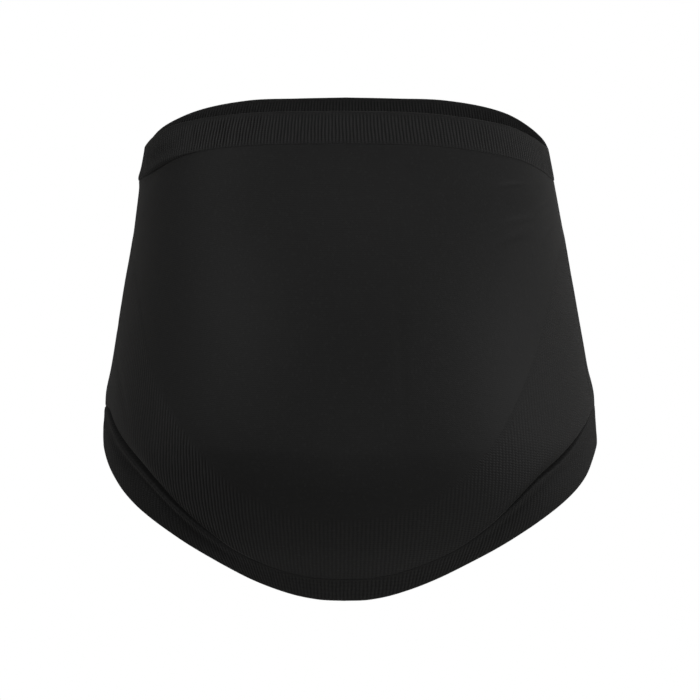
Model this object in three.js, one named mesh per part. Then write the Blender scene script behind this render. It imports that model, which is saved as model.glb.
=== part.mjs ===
// A seamless maternity support belt: one knitted tube, in the form it takes when it is worn.
// It is made of a ribbed waistband, a plain jersey belly panel, a ribbed support sling that
// passes under the belly and round the small of the back, and a ribbed hem band.
// Millimetres. +Z is up, -Y is the wearer's front and +X the wearer's left.
// The origin is on the wearer's axis at the hip line, where the belt sits.
import * as THREE from "three";

// Widths, from side to side
const RIM_WIDTH = 284;
const HIP_WIDTH = 355;

// Reaches, from the wearer's axis to the cloth
const RIM_REACH = 104;
const BELLY_REACH = 180;
const HEM_REACH = 106;
const WAIST_REACH = 86;
const SEAT_REACH = 112;

// Heights of the rim above the hip line, and drops of the hem below it
const RIM_FRONT = 230;
const RIM_SIDE = 203.5;
const RIM_BACK = 239;
const HEM_FRONT = 109;
const HEM_SIDE = 8;
const HEM_BACK = 18;

// Heights of the two bands, measured down the cloth
const WAISTBAND_HEIGHT = 24;
const HEM_BAND_HEIGHT = 24;

// Walls: the bands are two layers, the sling is a thick rib, the panel is one layer of jersey
const BAND_WALL = 2.4;
const SLING_WALL = 1.8;
const JERSEY_WALL = 1.4;

// How far each outer face stands proud of the jersey's
const BAND_PROUD = 0.5;
const SLING_PROUD = 0.2;

// The way the cloth lies on the wearer
const LEAN = 2.4; // the rim and the hem lie this far to one side of the hips
const FRONT_TURN = 3.5; // degrees that the front is turned from the wearer's middle
const JOIN_GAP = 0.3; // between two neighbours, down the cloth

// Creases where a band meets the cloth beside it
const SEAM_DIP = 0.5; // all the way round
const BAND_ROLL = 2.2; // how far down the band a crease reaches
const CLOTH_ROLL = 4.5; // how far into the cloth beside it
const FOLD_DEPTH = 5; // how far the deepest fold tucks in
const SWELL = 1.2; // the cloth stands out this far beside it
const SWELL_AT = 13; // and does so this far from it
const PUFF = 1.6; // how far the cloth puffs out at the sides

// Steps of the model
const FULL_TURN = 360; // degrees
const COLUMNS = 72; // round the belt
const MERIDIAN_STEPS = 160; // down the cloth, to measure along it
const WAISTBAND_ROWS = 2; // plain rows of each piece, between those beside its creases
const PANEL_ROWS = 9;
const SLING_ROWS = 4;
const HEM_BAND_ROWS = 2;

// Sections of the wearer, from over the rim to under the hem.
//   level   share of the rim's front height above the hip line, or of the hem's front drop below it
//   flare   share of the way from the rim's width to the hips' width
//   belly   share of the way from the rim's reach, or the hem's, to the belly's
//   seat    share of the way from the waist's reach to the seat's
//   square  power of the outline: 2 is an ellipse, and more is squarer
//   lean    share of the lean
const SECTIONS = [
  { level: 1.08, flare: -0.02, belly: -0.02, seat: 0.55, square: 2.3, lean: -1.0 },
  { level: 0.95, flare: 0.0, belly: 0.1, seat: 0.45, square: 2.3, lean: -1.0 },
  { level: 0.8, flare: 0.15, belly: 0.3, seat: 0.2, square: 2.28, lean: -0.7 },
  { level: 0.6, flare: 0.36, belly: 0.62, seat: 0.0, square: 2.2, lean: -0.4 },
  { level: 0.4, flare: 0.59, belly: 0.86, seat: 0.15, square: 2.12, lean: -0.1 },
  { level: 0.2, flare: 0.81, belly: 0.98, seat: 0.6, square: 2.06, lean: 0.1 },
  { level: 0.0, flare: 0.99, belly: 1.0, seat: 0.95, square: 2.0, lean: 0.1 },
  { level: -0.3, flare: 1.01, belly: 0.87, seat: 1.1, square: 1.95, lean: -0.1 },
  { level: -0.6, flare: 1.0, belly: 0.58, seat: 1.12, square: 1.9, lean: -0.8 },
  { level: -0.85, flare: 0.98, belly: 0.23, seat: 1.1, square: 1.85, lean: -1.4 },
  { level: -1.1, flare: 0.96, belly: -0.135, seat: 1.05, square: 1.85, lean: -1.6 },
];

// The edges and the sling's upper border, round one side from the belly to the back.
//   turn    degrees from the wearer's front
//   rise    share of the way from the rim's height at the side to its height in front or behind
//   dip     share of the way from the hem's drop at the side to its drop in front or behind
//   band    share of the hem band's height, which is more where the hem climbs across the cloth
//   border  share of the cloth between the two bands that lies above the sling
const EDGES = [
  { turn: 0, rise: 1.0, dip: 1.0, band: 1.0, border: 0.806 },
  { turn: 10, rise: 0.99, dip: 0.99, band: 1.0, border: 0.803 },
  { turn: 20, rise: 0.98, dip: 0.94, band: 1.04, border: 0.79 },
  { turn: 30, rise: 0.945, dip: 0.84, band: 1.14, border: 0.76 },
  { turn: 40, rise: 0.87, dip: 0.68, band: 1.32, border: 0.71 },
  { turn: 50, rise: 0.75, dip: 0.505, band: 1.48, border: 0.62 },
  { turn: 60, rise: 0.585, dip: 0.345, band: 1.54, border: 0.465 },
  { turn: 70, rise: 0.31, dip: 0.185, band: 1.48, border: 0.335 },
  { turn: 80, rise: 0.06, dip: 0.04, band: 1.26, border: 0.25 },
  { turn: 90, rise: 0.0, dip: 0.0, band: 1.04, border: 0.205 },
  { turn: 100, rise: 0.2, dip: 0.05, band: 1.0, border: 0.185 },
  { turn: 120, rise: 0.7, dip: 0.35, band: 1.0, border: 0.175 },
  { turn: 140, rise: 0.935, dip: 0.75, band: 1.0, border: 0.175 },
  { turn: 160, rise: 0.98, dip: 0.95, band: 1.0, border: 0.18 },
  { turn: 180, rise: 1.0, dip: 1.0, band: 1.0, border: 0.18 },
];

// Folds where the cloth tucks in beside a band.
//   band    the band that it runs along
//   turn    degrees from the wearer's front to its middle, to the wearer's left if positive
//   spread  degrees over which it fades
//   depth   share of the deepest fold's depth
const FOLDS = [
  { band: "waist", turn: -82, spread: 24, depth: 0.4 },
  { band: "hem", turn: -54, spread: 20, depth: 1.0 },
  { band: "hem", turn: 58, spread: 17, depth: 0.6 },
];

// Soft swellings and hollows of the cloth between the bands.
//   turn    degrees from the wearer's front to its middle, to the wearer's left if positive
//   level   share of the rim's front height above the hip line
//   spread  degrees over which it fades to either side
//   tall    share of the rim's front height over which it fades up and down
//   out     share of the cloth's puff, outwards if positive
const PUFFS = [
  { turn: -90, level: 0.12, spread: 10, tall: 0.06, out: 0.8 },
  { turn: -76, level: 0.27, spread: 7, tall: 0.08, out: -0.5 },
  { turn: 89, level: 0.12, spread: 10, tall: 0.06, out: 1.0 },
  { turn: 77, level: 0.2, spread: 6, tall: 0.08, out: -0.4 },
  { turn: 52, level: 0.76, spread: 8, tall: 0.03, out: -0.35 },
  { turn: 60, level: 0.7, spread: 8, tall: 0.035, out: 0.4 },
];

// A smooth curve through one column of a table, read at a value of its key column.
function read(table, key, column, at) {
  const rising = table[table.length - 1][key] > table[0][key];
  const rows = rising ? table : [...table].reverse();
  const last = rows.length - 1;
  let i = rows.findIndex((row, k) => k === last - 1 || at < rows[k + 1][key]);
  i = Math.max(i, 0);
  const slope = (k) => {
    const a = rows[Math.max(k - 1, 0)];
    const b = rows[Math.min(k + 1, last)];
    return (b[column] - a[column]) / (b[key] - a[key]);
  };
  const step = rows[i + 1][key] - rows[i][key];
  const t = THREE.MathUtils.clamp((at - rows[i][key]) / step, 0, 1);
  const s = t - 1;
  return (
    (1 + 2 * t) * s * s * rows[i][column] +
    t * s * s * step * slope(i) +
    t * t * (3 - 2 * t) * rows[i + 1][column] +
    t * t * s * step * slope(i + 1)
  );
}

// Degrees from the front, from -180 to 180, as degrees round either side.
function aside(turn) {
  const whole = ((turn % FULL_TURN) + FULL_TURN) % FULL_TURN;
  return Math.min(whole, FULL_TURN - whole);
}

// The jersey's outer face, at an angle and a height.
function bodyPoint(turn, height) {
  const level = height > 0 ? height / RIM_FRONT : height / HEM_FRONT;
  const share = (column) => read(SECTIONS, "level", column, level);
  const nearEnd = height > 0 ? RIM_REACH : HEM_REACH;
  const halfWidth = (RIM_WIDTH + (HIP_WIDTH - RIM_WIDTH) * share("flare")) / 2;
  const front = nearEnd + (BELLY_REACH - nearEnd) * share("belly");
  const back = WAIST_REACH + (SEAT_REACH - WAIST_REACH) * share("seat");
  const power = share("square");
  const angle = THREE.MathUtils.degToRad(turn);
  const across = Math.sin(angle);
  const along = Math.cos(angle);
  const reach = along > 0 ? front : back;
  const radius = Math.pow(
    Math.pow(Math.abs(across) / halfWidth, power) + Math.pow(Math.abs(along) / reach, power),
    -1 / power,
  );
  return new THREE.Vector3(radius * across + LEAN * share("lean"), -radius * along, height);
}

// The direction that the cloth faces there.
function bodyNormal(turn, height) {
  const step = 0.5;
  const round = bodyPoint(turn + step, height).sub(bodyPoint(turn - step, height));
  const down = bodyPoint(turn, height - step).sub(bodyPoint(turn, height + step));
  return down.cross(round).normalize();
}

// Degrees round either side of the belt's own middle, which is turned from the wearer's in front.
function asideBelt(turn) {
  const frontness = (1 + Math.cos(THREE.MathUtils.degToRad(turn))) / 2;
  return aside(turn + FRONT_TURN * frontness);
}

function rimHeight(turn) {
  const side = asideBelt(turn);
  const end = side < 90 ? RIM_FRONT : RIM_BACK;
  return RIM_SIDE + (end - RIM_SIDE) * read(EDGES, "turn", "rise", side);
}

function hemHeight(turn) {
  const side = aside(turn);
  const end = side < 90 ? HEM_FRONT : HEM_BACK;
  return -(HEM_SIDE + (end - HEM_SIDE) * read(EDGES, "turn", "dip", side));
}

// One line down the cloth, from the rim to the hem, measured along the cloth.
function meridian(turn) {
  const top = rimHeight(turn);
  const bottom = hemHeight(turn);
  const heights = [];
  const lengths = [0];
  for (let k = 0; k <= MERIDIAN_STEPS; k++) {
    heights.push(THREE.MathUtils.lerp(top, bottom, k / MERIDIAN_STEPS));
    if (k > 0) {
      const step = bodyPoint(turn, heights[k]).distanceTo(bodyPoint(turn, heights[k - 1]));
      lengths.push(lengths[k - 1] + step);
    }
  }
  const length = lengths[MERIDIAN_STEPS];
  const heightAt = (distance) => {
    const inside = THREE.MathUtils.clamp(distance, 0, length);
    const k = lengths.findIndex((l, n) => n > 0 && l >= inside);
    const part = (inside - lengths[k - 1]) / (lengths[k] - lengths[k - 1]);
    return THREE.MathUtils.lerp(heights[k - 1], heights[k], part);
  };
  const waistJoin = WAISTBAND_HEIGHT;
  const hemJoin = length - HEM_BAND_HEIGHT * read(EDGES, "turn", "band", aside(turn));
  const border = read(EDGES, "turn", "border", asideBelt(turn));
  const slingJoin = THREE.MathUtils.lerp(waistJoin, hemJoin, border);
  return { turn, length, heightAt, waistJoin, slingJoin, hemJoin };
}

// A rounded bump that is 1 in the middle and fades over a distance.
function bump(away, spread) {
  return Math.exp(-((away / spread) ** 2));
}

// How far the cloth lies outside its plain form, by the creases along both bands.
function creaseOffset(line, distance) {
  let offset = 0;
  for (const band of ["waist", "hem"]) {
    const join = band === "waist" ? line.waistJoin : line.hemJoin;
    const inBand = band === "waist" ? distance < join : distance > join;
    const away = Math.abs(distance - join);
    let fold = 0;
    for (const { turn, spread, depth } of FOLDS.filter((row) => row.band === band)) {
      fold += depth * bump(aside(line.turn - turn), spread);
    }
    const reach = inBand ? BAND_ROLL : CLOTH_ROLL;
    offset -= (SEAM_DIP + FOLD_DEPTH * fold) * bump(away, reach);
    if (!inBand) offset += SWELL * fold * bump(away - SWELL_AT, SWELL_AT / 2);
  }
  return offset;
}

// And by its soft swellings and hollows.
function puffOffset(turn, height) {
  let offset = 0;
  for (const puff of PUFFS) {
    const round = bump(aside(turn - puff.turn), puff.spread);
    offset += PUFF * puff.out * round * bump(height / RIM_FRONT - puff.level, puff.tall);
  }
  return offset;
}

const lines = [];
for (let k = 0; k < COLUMNS; k++) lines.push(meridian(FULL_TURN * (k / COLUMNS - 0.5)));

// Rows beside a crease, as distances from it, on the band and on the cloth next to it.
const BAND_CREASE_ROWS = [0, BAND_ROLL * 1.1];
const CLOTH_CREASE_ROWS = [0, CLOTH_ROLL * 0.5, CLOTH_ROLL * 1.15, CLOTH_ROLL * 2.2];
const PLAIN_EDGE_ROWS = [0];

// Distances down a piece of a certain length: the rows at its upper end, some plain ones, and the rows
// at its lower end. Where the piece is short, the rows at its ends crowd together.
function rowsDown(length, upper, plain, lower) {
  const upperReach = Math.max(...upper);
  const lowerReach = Math.max(...lower);
  const crowd = Math.min(1, (0.6 * length) / Math.max(upperReach + lowerReach, 1));
  const first = upperReach * crowd;
  const last = length - lowerReach * crowd;
  const rows = upper.map((distance) => distance * crowd);
  for (let k = 1; k <= plain; k++) rows.push(THREE.MathUtils.lerp(first, last, k / (plain + 1)));
  for (const distance of [...lower].reverse()) rows.push(length - distance * crowd);
  return rows;
}

// The closed outline of a piece on one line down the cloth: down its outer face and up its inner one.
// A folded edge is rounded, and stands half a wall in from the end that it folds round.
function pieceOutline(line, piece) {
  const { from, to, proud, wall, upper, plain, lower, folded } = piece;
  const start = from(line) + (folded === "upper" ? wall : JOIN_GAP) / 2;
  const end = to(line) - (folded === "lower" ? wall : JOIN_GAP) / 2;
  const rows = rowsDown(end - start, upper, plain, lower).map((row) => start + row);
  const stops = [
    ...rows.map((distance) => ({ distance, depth: 0 })),
    ...(folded === "lower" ? [{ distance: end + wall / 2, depth: wall / 2 }] : []),
    ...rows.reverse().map((distance) => ({ distance, depth: wall })),
    ...(folded === "upper" ? [{ distance: start - wall / 2, depth: wall / 2 }] : []),
  ];
  return stops.map(({ distance, depth }) => {
    const height = line.heightAt(distance);
    const form = creaseOffset(line, distance) + puffOffset(line.turn, height);
    const out = bodyNormal(line.turn, height).multiplyScalar(proud + form - depth);
    return bodyPoint(line.turn, height).add(out);
  });
}

// A closed ring of cloth, with its outline on each line joined to that on the next.
function clothRing(name, color, piece) {
  const outlines = lines.map((line) => pieceOutline(line, piece));
  const size = outlines[0].length;
  const faces = [];
  for (let column = 0; column < COLUMNS; column++) {
    for (let row = 0; row < size; row++) {
      const here = column * size;
      const there = ((column + 1) % COLUMNS) * size;
      const below = (row + 1) % size;
      faces.push(here + row, here + below, there + row);
      faces.push(here + below, there + below, there + row);
    }
  }
  const geometry = new THREE.BufferGeometry().setFromPoints(outlines.flat());
  geometry.setIndex(faces);
  geometry.computeVertexNormals();
  const material = new THREE.MeshStandardMaterial({ color, roughness: 0.85, metalness: 0 });
  const mesh = new THREE.Mesh(geometry, material);
  mesh.name = name;
  return mesh;
}

const waistband = clothRing("waistband", 0x232323, {
  from: () => 0,
  to: (line) => line.waistJoin,
  proud: BAND_PROUD,
  wall: BAND_WALL,
  upper: PLAIN_EDGE_ROWS,
  plain: WAISTBAND_ROWS,
  lower: BAND_CREASE_ROWS,
  folded: "upper",
});

const bellyPanel = clothRing("belly_panel", 0x202020, {
  from: (line) => line.waistJoin,
  to: (line) => line.slingJoin,
  proud: 0,
  wall: JERSEY_WALL,
  upper: CLOTH_CREASE_ROWS,
  plain: PANEL_ROWS,
  lower: PLAIN_EDGE_ROWS,
});

const supportSling = clothRing("support_sling", 0x222222, {
  from: (line) => line.slingJoin,
  to: (line) => line.hemJoin,
  proud: SLING_PROUD,
  wall: SLING_WALL,
  upper: PLAIN_EDGE_ROWS,
  plain: SLING_ROWS,
  lower: CLOTH_CREASE_ROWS,
});

const hemBand = clothRing("hem_band", 0x232323, {
  from: (line) => line.hemJoin,
  to: (line) => line.length,
  proud: BAND_PROUD,
  wall: BAND_WALL,
  upper: BAND_CREASE_ROWS,
  plain: HEM_BAND_ROWS,
  lower: PLAIN_EDGE_ROWS,
  folded: "lower",
});

const belt = new THREE.Group();
belt.name = "maternity_support_belt";
belt.add(waistband, bellyPanel, supportSling, hemBand);

export default belt;
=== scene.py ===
# %% [markdown]
# # A maternity support belt
#
# The object is one knitted tube that is pulled on over the hips and worn in pregnancy, to help carry
# the weight. It comes off the knitting machine in one piece, so there is no seam to model. What makes
# it recognisable are its four kinds of knitting, one under the other: a ribbed waistband, a plain
# jersey belly panel, a firmer ribbed sling under it, and a ribbed band at the hem.
#
# The solids of the frame already have the form that the belt is worn in. This lesson dresses them in
# cloth: it works out that form once more, lays each rib along it, and then makes the yarn.

import functools
import math

import bmesh
import bpy
import numpy as np
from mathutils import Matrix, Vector


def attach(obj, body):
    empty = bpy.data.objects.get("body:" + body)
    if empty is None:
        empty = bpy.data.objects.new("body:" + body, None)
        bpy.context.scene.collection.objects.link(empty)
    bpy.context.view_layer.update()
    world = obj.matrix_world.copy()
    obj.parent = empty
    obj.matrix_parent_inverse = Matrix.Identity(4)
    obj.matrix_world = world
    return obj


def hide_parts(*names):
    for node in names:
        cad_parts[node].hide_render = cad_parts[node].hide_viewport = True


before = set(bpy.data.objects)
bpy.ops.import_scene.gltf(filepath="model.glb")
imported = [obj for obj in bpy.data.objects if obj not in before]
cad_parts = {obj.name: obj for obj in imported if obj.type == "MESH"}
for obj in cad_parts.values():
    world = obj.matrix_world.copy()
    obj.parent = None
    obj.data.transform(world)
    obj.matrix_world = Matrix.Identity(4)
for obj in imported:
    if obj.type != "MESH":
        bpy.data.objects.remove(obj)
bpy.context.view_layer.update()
print("solids", sorted(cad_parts))

# %% [markdown]
# ## The camera
#
# A product photograph of clothing is taken from far away with a long lens, so that nothing bulges.
# The camera stands 2.6 m in front of the belt and a little above it, which is why the inside of the
# back of the waistband shows over the front. A lens could be picked by eye, but it also follows from
# the distance and from the width that the picture takes in, so it is worked out.

# %% Camera
CAMERA_DISTANCE = 2.6  # metres
CAMERA_RISE = math.radians(4)
PICTURE_WIDTH = 0.504  # metres that the picture takes in, where the belt is
SENSOR_WIDTH = 36  # millimetres
LOOKS_AT = Vector((0.0007, 0, 0.0576))

away = Vector((0, -math.cos(CAMERA_RISE), math.sin(CAMERA_RISE)))
camera_data = bpy.data.cameras.new("camera")
camera_data.sensor_width = SENSOR_WIDTH
camera_data.lens = SENSOR_WIDTH * CAMERA_DISTANCE / PICTURE_WIDTH
camera = bpy.data.objects.new("camera", camera_data)
camera.location = LOOKS_AT + away * CAMERA_DISTANCE
camera.rotation_euler = (-away).to_track_quat("-Z", "Y").to_euler()
bpy.context.collection.objects.link(camera)
bpy.context.scene.camera = camera
print("lens", round(camera_data.lens, 1), "mm")

# %% [markdown]
# ## The form that it is worn in
#
# Cloth has no form of its own. Worn, this belt is narrow at the waist, stands out far in front and is
# widest at the hips. One way to make that is to sculpt it, another is a cloth simulation. Here it is
# a short table of sections instead, because a table can be read against a photograph, and because
# the solids use the very same one.
#
# Levels go from 0 at the hip line up to 1 at the front of the rim, and down to -1 at the front of the
# hem. Each has an outline, as shares of a few sizes: how far it flares from the rim's width to the
# hips', how far its front and its back stand out, how square it is, and how far it leans aside. The
# second table goes round the edges, in degrees from the front: how far the rim rises and the hem dips
# there, how tall the hem band is, and where the jersey changes to the sling.

# %% Sizes of the form, in millimetres
RIM_WIDTH, HIP_WIDTH = 284, 355
RIM_REACH, BELLY_REACH, HEM_REACH = 104, 180, 106
WAIST_REACH, SEAT_REACH = 86, 112
RIM_FRONT, RIM_SIDE, RIM_BACK = 230, 203.5, 239
HEM_FRONT, HEM_SIDE, HEM_BACK = 109, 8, 18
WAISTBAND_HEIGHT, HEM_BAND_HEIGHT = 24, 24
LEAN = 2.4
FRONT_TURN = 3.5  # degrees
MM = 0.001

SECTIONS = {
    "level": (-1.1, -0.85, -0.6, -0.3, 0.0, 0.2, 0.4, 0.6, 0.8, 0.95, 1.08),
    "flare": (0.96, 0.98, 1.0, 1.01, 0.99, 0.81, 0.59, 0.36, 0.15, 0.0, -0.02),
    "belly": (-0.135, 0.23, 0.58, 0.87, 1.0, 0.98, 0.86, 0.62, 0.3, 0.1, -0.02),
    "seat": (1.05, 1.1, 1.12, 1.1, 0.95, 0.6, 0.15, 0.0, 0.2, 0.45, 0.55),
    "square": (1.85, 1.85, 1.9, 1.95, 2.0, 2.06, 2.12, 2.2, 2.28, 2.3, 2.3),
    "lean": (-1.6, -1.4, -0.8, -0.1, 0.1, 0.1, -0.1, -0.4, -0.7, -1.0, -1.0),
}
EDGES = {
    "turn": (0, 10, 20, 30, 40, 50, 60, 70, 80, 90, 100, 120, 140, 160, 180),
    "rise": (1, 0.99, 0.98, 0.945, 0.87, 0.75, 0.585, 0.31, 0.06, 0, 0.2, 0.7, 0.935, 0.98, 1),
    "dip": (1, 0.99, 0.94, 0.84, 0.68, 0.505, 0.345, 0.185, 0.04, 0, 0.05, 0.35, 0.75, 0.95, 1),
    "band": (1, 1, 1.04, 1.14, 1.32, 1.48, 1.54, 1.48, 1.26, 1.04, 1, 1, 1, 1, 1),
    "border": (
        0.806, 0.803, 0.79, 0.76, 0.71, 0.62, 0.465, 0.335, 0.25, 0.205, 0.185, 0.175, 0.175, 0.18, 0.18,
    ),
}
print(len(SECTIONS["level"]), "sections and", len(EDGES["turn"]), "places round the edges")


# %% [markdown]
# Between the values of a table the form has to run on smoothly, because a straight run would show as
# a crease in the cloth. A curve object can do that for one outline, but here a whole net of points is
# looked up at once. So the values are joined by a cubic curve, which passes each of them with the
# slope between its two neighbours.

# %% A smooth curve through a column of a table
def read(table, key, column, at):
    """The value of a column where the key column has the value at, on a smooth curve."""
    keys, values = np.asarray(table[key], float), np.asarray(table[column], float)
    slopes = np.empty(len(keys))
    slopes[1:-1] = (values[2:] - values[:-2]) / (keys[2:] - keys[:-2])
    slopes[0] = (values[1] - values[0]) / (keys[1] - keys[0])
    slopes[-1] = (values[-1] - values[-2]) / (keys[-1] - keys[-2])
    low = np.clip(np.searchsorted(keys, at, side="right") - 1, 0, len(keys) - 2)
    step = keys[low + 1] - keys[low]
    t = np.clip((at - keys[low]) / step, 0, 1)
    s = t - 1
    return (
        (1 + 2 * t) * s * s * values[low]
        + t * s * s * step * slopes[low]
        + t * t * (3 - 2 * t) * values[low + 1]
        + t * t * s * step * slopes[low + 1]
    )


def aside(turn):
    """Degrees from the front, as degrees round either side."""
    whole = np.mod(turn, 360)
    return np.minimum(whole, 360 - whole)


third = float(read(SECTIONS, "level", "belly", 0.33))
print("at level 0.33 the front stands out by", round(third, 3), "of its reach")


# %% [markdown]
# A point on the form is found from two numbers, as on a globe: the turn from the front, in degrees,
# and the height over the hip line. The outline between the side, the front and the back is a
# superellipse, which is an ellipse that may be a little squarer, as the belt is at its rim. The
# direction that the cloth faces comes from two short steps along it, one round the
# belt and one down.
#
# The belt sits turned by a few degrees in front, so its rim and the border of its sling are looked up
# from a middle of their own.

# %% Points and directions on the form
def form_point(turn, height):
    """The jersey's outer face, in millimetres."""
    level = np.where(height > 0, height / RIM_FRONT, height / HEM_FRONT)
    near_end = np.where(height > 0, RIM_REACH, HEM_REACH)
    half_width = (RIM_WIDTH + (HIP_WIDTH - RIM_WIDTH) * read(SECTIONS, "level", "flare", level)) / 2
    front = near_end + (BELLY_REACH - near_end) * read(SECTIONS, "level", "belly", level)
    back = WAIST_REACH + (SEAT_REACH - WAIST_REACH) * read(SECTIONS, "level", "seat", level)
    power = read(SECTIONS, "level", "square", level)
    across, along = np.sin(np.radians(turn)), np.cos(np.radians(turn))
    reach = np.where(along > 0, front, back)
    radius = ((abs(across) / half_width) ** power + (abs(along) / reach) ** power) ** (-1 / power)
    lean = LEAN * read(SECTIONS, "level", "lean", level)
    return np.stack([radius * across + lean, -radius * along, height + 0 * radius], axis=-1)


def form_facing(turn, height):
    """The direction that the cloth faces there."""
    step = 0.5
    round_it = form_point(turn + step, height) - form_point(turn - step, height)
    down = form_point(turn, height - step) - form_point(turn, height + step)
    facing = np.cross(down, round_it)
    return facing / np.linalg.norm(facing, axis=-1, keepdims=True)


def aside_belt(turn):
    """Degrees round either side of the belt's own middle, which is turned a little in front."""
    frontness = (1 + np.cos(np.radians(turn))) / 2
    return aside(turn + FRONT_TURN * frontness)


def rim_height(turn):
    """Height of the rim over the hip line."""
    side = aside_belt(turn)
    end = np.where(side < 90, RIM_FRONT, RIM_BACK)
    return RIM_SIDE + (end - RIM_SIDE) * read(EDGES, "turn", "rise", side)


def hem_height(turn):
    """Height of the hem, which is below the hip line all round."""
    side = aside(turn)
    end = np.where(side < 90, HEM_FRONT, HEM_BACK)
    return -(HEM_SIDE + (end - HEM_SIDE) * read(EDGES, "turn", "dip", side))


print("front of the belly panel, at the hip line", form_point(np.array([0.0]), np.array([0.0])).round(1))

# %% [markdown]
# ## Where one kind of knitting changes to the next
#
# The bands are as tall as the machine knitted them, so their edges lie at a distance along the cloth
# and not at a height. Cutting the form at heights would be simpler, but it would make a band taller
# wherever the form slopes. The form is therefore measured: a fine net of points is laid over it, a
# little past both edges, and the lengths between them are added up from the rim down. The edge between
# the jersey and the sling is found in the same way, as a share of the cloth between the two bands.
#
# The folds that come later also drag the joins along: at the lower left, the join at the hem lies a
# few millimetres lower than a straight band would put it, and at the lower right it lies higher.

# %% Measure the form, and find the three joins
PULLED_DOWN = {  # turn, spread in degrees, millimetres
    "waist": ((-66, 13, 2.6),),
    "hem": ((-46, 15, 5.2), (-67, 8, 2.5), (46, 8, -5.5)),
}
TURNS = np.linspace(-180, 180, 721)
DOWN = np.linspace(-0.01, 1.01, 205)
RIM_ROW, HEM_ROW = 2, -3  # where DOWN is 0 and 1


def lengths_down(points):
    """Distances from the rim, down each line of a net of points."""
    steps = np.linalg.norm(np.diff(points, axis=0), axis=-1)
    lengths = np.concatenate([np.zeros((1, points.shape[1])), np.cumsum(steps, axis=0)])
    return lengths - lengths[RIM_ROW]


def pulled_down(join):
    """How far the folds drag a join down the cloth, in millimetres."""
    rows = PULLED_DOWN[join]
    return sum(drag * np.exp(-(((TURNS - turn) / spread) ** 2)) for turn, spread, drag in rows)


net_heights = rim_height(TURNS) + (hem_height(TURNS) - rim_height(TURNS)) * DOWN[:, None]
net = form_point(np.broadcast_to(TURNS, net_heights.shape), net_heights)
net_lengths = lengths_down(net)
whole = net_lengths[HEM_ROW]
waist_at = WAISTBAND_HEIGHT + pulled_down("waist")
hem_at = whole - HEM_BAND_HEIGHT * read(EDGES, "turn", "band", aside(TURNS)) + pulled_down("hem")
sling_at = waist_at + (hem_at - waist_at) * read(EDGES, "turn", "border", aside_belt(TURNS))
join_heights = {
    name: np.array([np.interp(at[k], net_lengths[:, k], net_heights[:, k]) for k in range(len(TURNS))])
    for name, at in (("waist", waist_at), ("sling", sling_at), ("hem", hem_at))
}
front, side = len(TURNS) // 2, len(TURNS) // 4
print("cloth down the front", round(float(whole[front])), "mm, down a side", round(float(whole[side])))

# %% [markdown]
# ## The wales
#
# A wale is one column of stitches. In a rib, one wale stands forward and the next lies back in the
# furrow. All of them run from the rim to the hem without a break, and at each height they share out
# the cloth that goes round there, so they lie far apart where the belt is wide and close together at
# the waist. Two things keep that from being even. The middle of the front is stretched most, and its
# flanks least. And the tight edges draw the wales in towards the middle of the front and of the back,
# more at the left than at the right, so that the waistband's ribs fan out on their way down. Both were
# measured in the photograph, as the spacing and the lean of the ribs from place to place.

# %% Follow each wale down the form
RIBS = 330
CROWDING = 0.05
DRAWN_IN = {"rim": (2.7, 30), "hem": (5.5, 90)}  # degrees at that edge, and millimetres to fade over
FAN_LOPSIDED = 0.5


def follow_wales(count):
    """Turns, heights and lengths of count + 1 wales, the last of them the first, at the rows of DOWN."""
    between = (TURNS[1:] + TURNS[:-1]) / 2
    around = np.linalg.norm(np.diff(net, axis=1), axis=-1)
    around = around * (1 - CROWDING * np.cos(np.radians(4 * between)))
    gone = np.concatenate([np.zeros((len(DOWN), 1)), np.cumsum(around, axis=1)], axis=1)
    shares = np.linspace(0, 1, count + 1)
    turns = np.stack([np.interp(shares, row / row[-1], TURNS) for row in gone])
    fan = np.sin(np.radians(2 * turns)) * (1 - FAN_LOPSIDED * np.sin(np.radians(turns)))
    down = DOWN[:, None] * whole.mean()
    for edge, past in (("rim", down), ("hem", whole.mean() - down)):
        drawn, fade = DRAWN_IN[edge]
        turns = turns - drawn * fan * np.exp(-past.clip(0) / fade)
    heights = rim_height(turns) + (hem_height(turns) - rim_height(turns)) * DOWN[:, None]
    lengths = lengths_down(form_point(turns, heights))
    joins = {}
    for name, join in join_heights.items():
        above = heights - np.interp(turns, TURNS, join)
        last = np.argmax(above <= 0, axis=0)
        wale = np.arange(count + 1)
        over, under = above[last - 1, wale], above[last, wale]
        part = over / (over - under)
        joins[name] = lengths[last - 1, wale] + part * (lengths[last, wale] - lengths[last - 1, wale])
    return {"turns": turns, "heights": heights, "lengths": lengths, "joins": joins}


def ribs_apart(row):
    """Millimetres from each rib to the next, at a row of DOWN."""
    places = form_point(wales["turns"][row], wales["heights"][row])
    return np.linalg.norm(np.diff(places, axis=0), axis=-1)


wales = follow_wales(RIBS)
for name, row in (("rim", RIM_ROW), ("hem", HEM_ROW)):
    apart = ribs_apart(row)
    print(name, round(float(apart.sum())), "mm round")
    print("ribs", apart[RIBS // 2].round(2), "mm apart in front")
    print("and", apart[RIBS // 4].round(2), "at a side")

# %% [markdown]
# ## How the cloth lies on the form
#
# Everything that is smaller than the form is an offset from its surface, outwards or inwards:
#
# - each band meets the cloth in a shallow dip, and at the lower left, and less at the lower right,
#   the cloth rolls over the band and tucks in behind it, which makes the darkest line of the picture;
# - over those folds the cloth stands out softly, and at both sides it puffs out just above the hem;
# - there are a few thin creases, where the cloth is pushed together under the waistband;
# - and nothing is quite even, because a stretched knit is never quite even.
#
# A simulation could find such folds too, but not these ones in these places, so they are in tables.

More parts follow.
